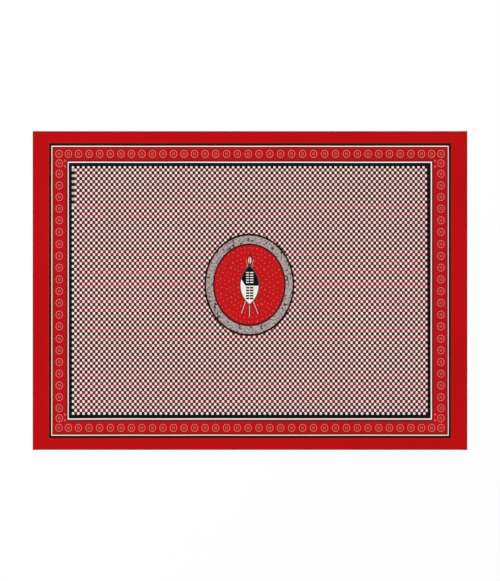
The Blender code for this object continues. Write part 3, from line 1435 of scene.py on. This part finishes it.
@dataclass(frozen=True)
class HemStitching:
    """The sewing of the hems: a row of short stitches near the inner fold, above and below.

    A stitch's cuts are shares of its length, and its lift and sink are shares of the thread's radius.
    """

    sheet: ClothSheet
    inset: float = 7.0 * MM
    stitch_pitch: float = 3.0 * MM
    stitch_length: float = 2.6 * MM
    thread_radius: float = 0.17 * MM
    thread_sides: int = 6
    cuts: tuple[float, ...] = (-0.3, 0.0, 0.3)
    cut_tolerance: float = 0.01 * MM
    end_slimming: float = 0.45
    middle_lift: float = 0.35
    end_sink: float = 1.3
    bend_power: int = 3
    end_margin: float = 6.0 * MM

    def build(self) -> bpy.types.Object:
        """Sew both hems, above and below, and join the four rows into one piece."""
        pattern = self.one_row()
        rows = []
        for side in (-1, 1):
            rows.append(self.laid_row(pattern, side, self.sheet.hem_top, facing=1))
            rows.append(self.laid_row(pattern, side, 0.0, facing=-1))
        bpy.data.objects.remove(pattern, do_unlink=True)
        bpy.ops.object.select_all(action="DESELECT")
        for row in rows:
            row.select_set(True)
        bpy.context.view_layer.objects.active = rows[0]
        bpy.ops.object.join()
        seam = bpy.context.object
        name_piece(seam, "hem_stitching")
        return seam

    def one_row(self) -> bpy.types.Object:
        """Model one stitch and repeat it across the cloth, with its seam line at an X of zero."""
        count = int((self.sheet.size.width - 2 * self.end_margin) / self.stitch_pitch)
        stitch = self.one_stitch(-(count - 1) * self.stitch_pitch / 2)
        row = stitch.modifiers.new("stitch_row", "ARRAY")
        row.count = count
        row.use_relative_offset = False
        row.use_constant_offset = True
        row.constant_offset_displace = (0.0, self.stitch_pitch, 0.0)
        row.use_merge_vertices = False
        bpy.ops.object.modifier_apply(modifier=row.name)
        return stitch

    def laid_row(
        self, pattern: bpy.types.Object, side: int, height: float, facing: int
    ) -> bpy.types.Object:
        """Lay a copy of the row along one hem, at the height of the hem's surface.

        The side is -1 for the hem on the left and 1 for the one on the right. Facing is 1 for stitches
        on top of the hem and -1 for stitches that hang under it.
        """
        seam_x = self.sheet.size.length / 2 - self.inset
        row = pattern.copy()
        row.data = pattern.data.copy()
        bpy.context.collection.objects.link(row)
        for vert in row.data.vertices:
            vert.co.x += side * seam_x
            vert.co.z = height + facing * vert.co.z
        if facing < 0:
            row.data.flip_normals()
        return row

    def one_stitch(self, y: float) -> bpy.types.Object:
        """Model one stitch, arched over the cloth and sunk at both ends."""
        bpy.ops.mesh.primitive_cylinder_add(
            vertices=self.thread_sides,
            radius=self.thread_radius,
            depth=self.stitch_length,
            end_fill_type="TRIFAN",
            rotation=(math.pi / 2, 0.0, 0.0),
        )
        stitch = bpy.context.object
        bpy.ops.object.transform_apply(location=True, rotation=True, scale=True)
        bpy.ops.object.mode_set(mode="EDIT")
        for share in self.cuts:
            bpy.ops.mesh.select_all(action="SELECT")
            bpy.ops.mesh.bisect(
                plane_co=(0.0, share * self.stitch_length, 0.0),
                plane_no=(0.0, 1.0, 0.0),
                threshold=self.cut_tolerance,
            )
        bpy.ops.object.mode_set(mode="OBJECT")
        for vert in stitch.data.vertices:
            bend = (2 * abs(vert.co.y) / self.stitch_length) ** self.bend_power
            slim = 1 - self.end_slimming * bend
            vert.co.x *= slim
            vert.co.z = vert.co.z * slim + self.thread_radius * (self.middle_lift - self.end_sink * bend)
            vert.co.y += y
        bpy.ops.object.shade_smooth()
        return stitch


@dataclass(frozen=True)
class Studio:
    """A plain pale floor, soft light all round, and a camera straight above the cloth."""

    image_height: int = 581
    metres_per_pixel: float = 3.4525 * MM
    lens: float = 200.0
    sensor: float = 36.0
    floor_side: float = 60.0
    floor_drop: float = 0.02 * MM
    floor_colour: Colour = (0.97, 0.97, 0.97, 1.0)
    floor_roughness: float = 0.9
    sky_colour: Colour = (1.0, 1.0, 1.0, 1.0)
    sky_strength: float = 0.86
    key_power: float = 400.0
    key_size: float = 6.0
    key_place: Vector = Vector((-6.5, 5.5, 8.5))

    def floor(self) -> None:
        """Lay the floor just under the cloth."""
        bpy.ops.object.select_all(action="DESELECT")
        bpy.ops.mesh.primitive_plane_add(size=self.floor_side, location=(0.0, 0.0, -self.floor_drop))
        floor = bpy.context.object
        floor.name = "studio_floor"
        material, wiring, shader = new_material("pale_floor", self.floor_roughness, specular=0.0)
        wiring.fill(shader, base_color=self.floor_colour)
        floor.data.materials.append(material)
        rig.stage(floor)

    def lights(self) -> None:
        """Light the room evenly, with one large soft light from the upper left."""
        world = bpy.data.worlds.new("soft_room")
        world.use_nodes = True
        background = world.node_tree.nodes["Background"]
        background.inputs["Color"].default_value = self.sky_colour
        background.inputs["Strength"].default_value = self.sky_strength
        bpy.context.scene.world = world
        lamp = bpy.data.lights.new("key_light", "AREA")
        lamp.energy = self.key_power
        lamp.size = self.key_size
        key = bpy.data.objects.new("key_light", lamp)
        key.location = self.key_place
        key.rotation_euler = (-self.key_place).to_track_quat("-Z", "Y").to_euler()
        key.visible_camera = False
        bpy.context.collection.objects.link(key)

    def camera(self) -> None:
        """Hang the camera straight above the middle, framed as the photograph is."""
        view_height = self.image_height * self.metres_per_pixel
        lens_data = bpy.data.cameras.new("camera_above")
        lens_data.lens = self.lens
        lens_data.sensor_width = self.sensor
        camera = bpy.data.objects.new("camera_above", lens_data)
        camera.location = (0.0, 0.0, view_height * self.lens / self.sensor)
        bpy.context.collection.objects.link(camera)
        bpy.context.scene.camera = camera

    def build(self) -> None:
        """Set up floor, light, camera and plain colour handling."""
        self.floor()
        self.lights()
        self.camera()
        bpy.context.scene.view_settings.view_transform = "Standard"
        bpy.context.scene.view_settings.look = "None"


def report_piece(piece: bpy.types.Object) -> None:
    """Log a piece's name and how many faces it has."""
    log.info("%s: %d faces", piece.name, len(piece.data.polygons))


def main() -> None:
    """Build the cloth and its sewing, dress them, and set up the studio."""
    logging.basicConfig(level=logging.INFO, format="%(name)s %(message)s")
    bpy.ops.object.select_all(action="DESELECT")
    size = ClothSize.of_node(CLOTH_NODE)
    groups = EffectGroups.build(size)
    face = CottonFinish("cotton_face", groups)
    back = CottonFinish("cotton_back", groups, show_through=0.72, tone_strength=1.3)

    sheet = ClothSheet(size)
    cloth = sheet.build()
    dress(cloth, face, back)
    report_piece(cloth)

    seam = HemStitching(sheet).build()
    dress(seam, ThreadFinish())
    report_piece(seam)

    for piece in (cloth, seam):
        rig.ride(piece, ROOT_BODY)
        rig.slot(piece, COTTON_SLOT)
    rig.replaces(cloth, CLOTH_NODE)
    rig.sheet(
        cloth,
        flat=(sheet.cut_length, size.width),
        held="laid",
        rests_on=["studio_floor"],
        with_pieces=[seam],
    )
    Studio().build()

    low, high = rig.bounds()
    with open(SIZE_FILE, "w", encoding="utf-8") as size_file:
        json.dump({"cad": [list(cad_low), list(cad_high)], "visual": [list(low), list(high)]}, size_file)


if __name__ == "__main__":
    main()
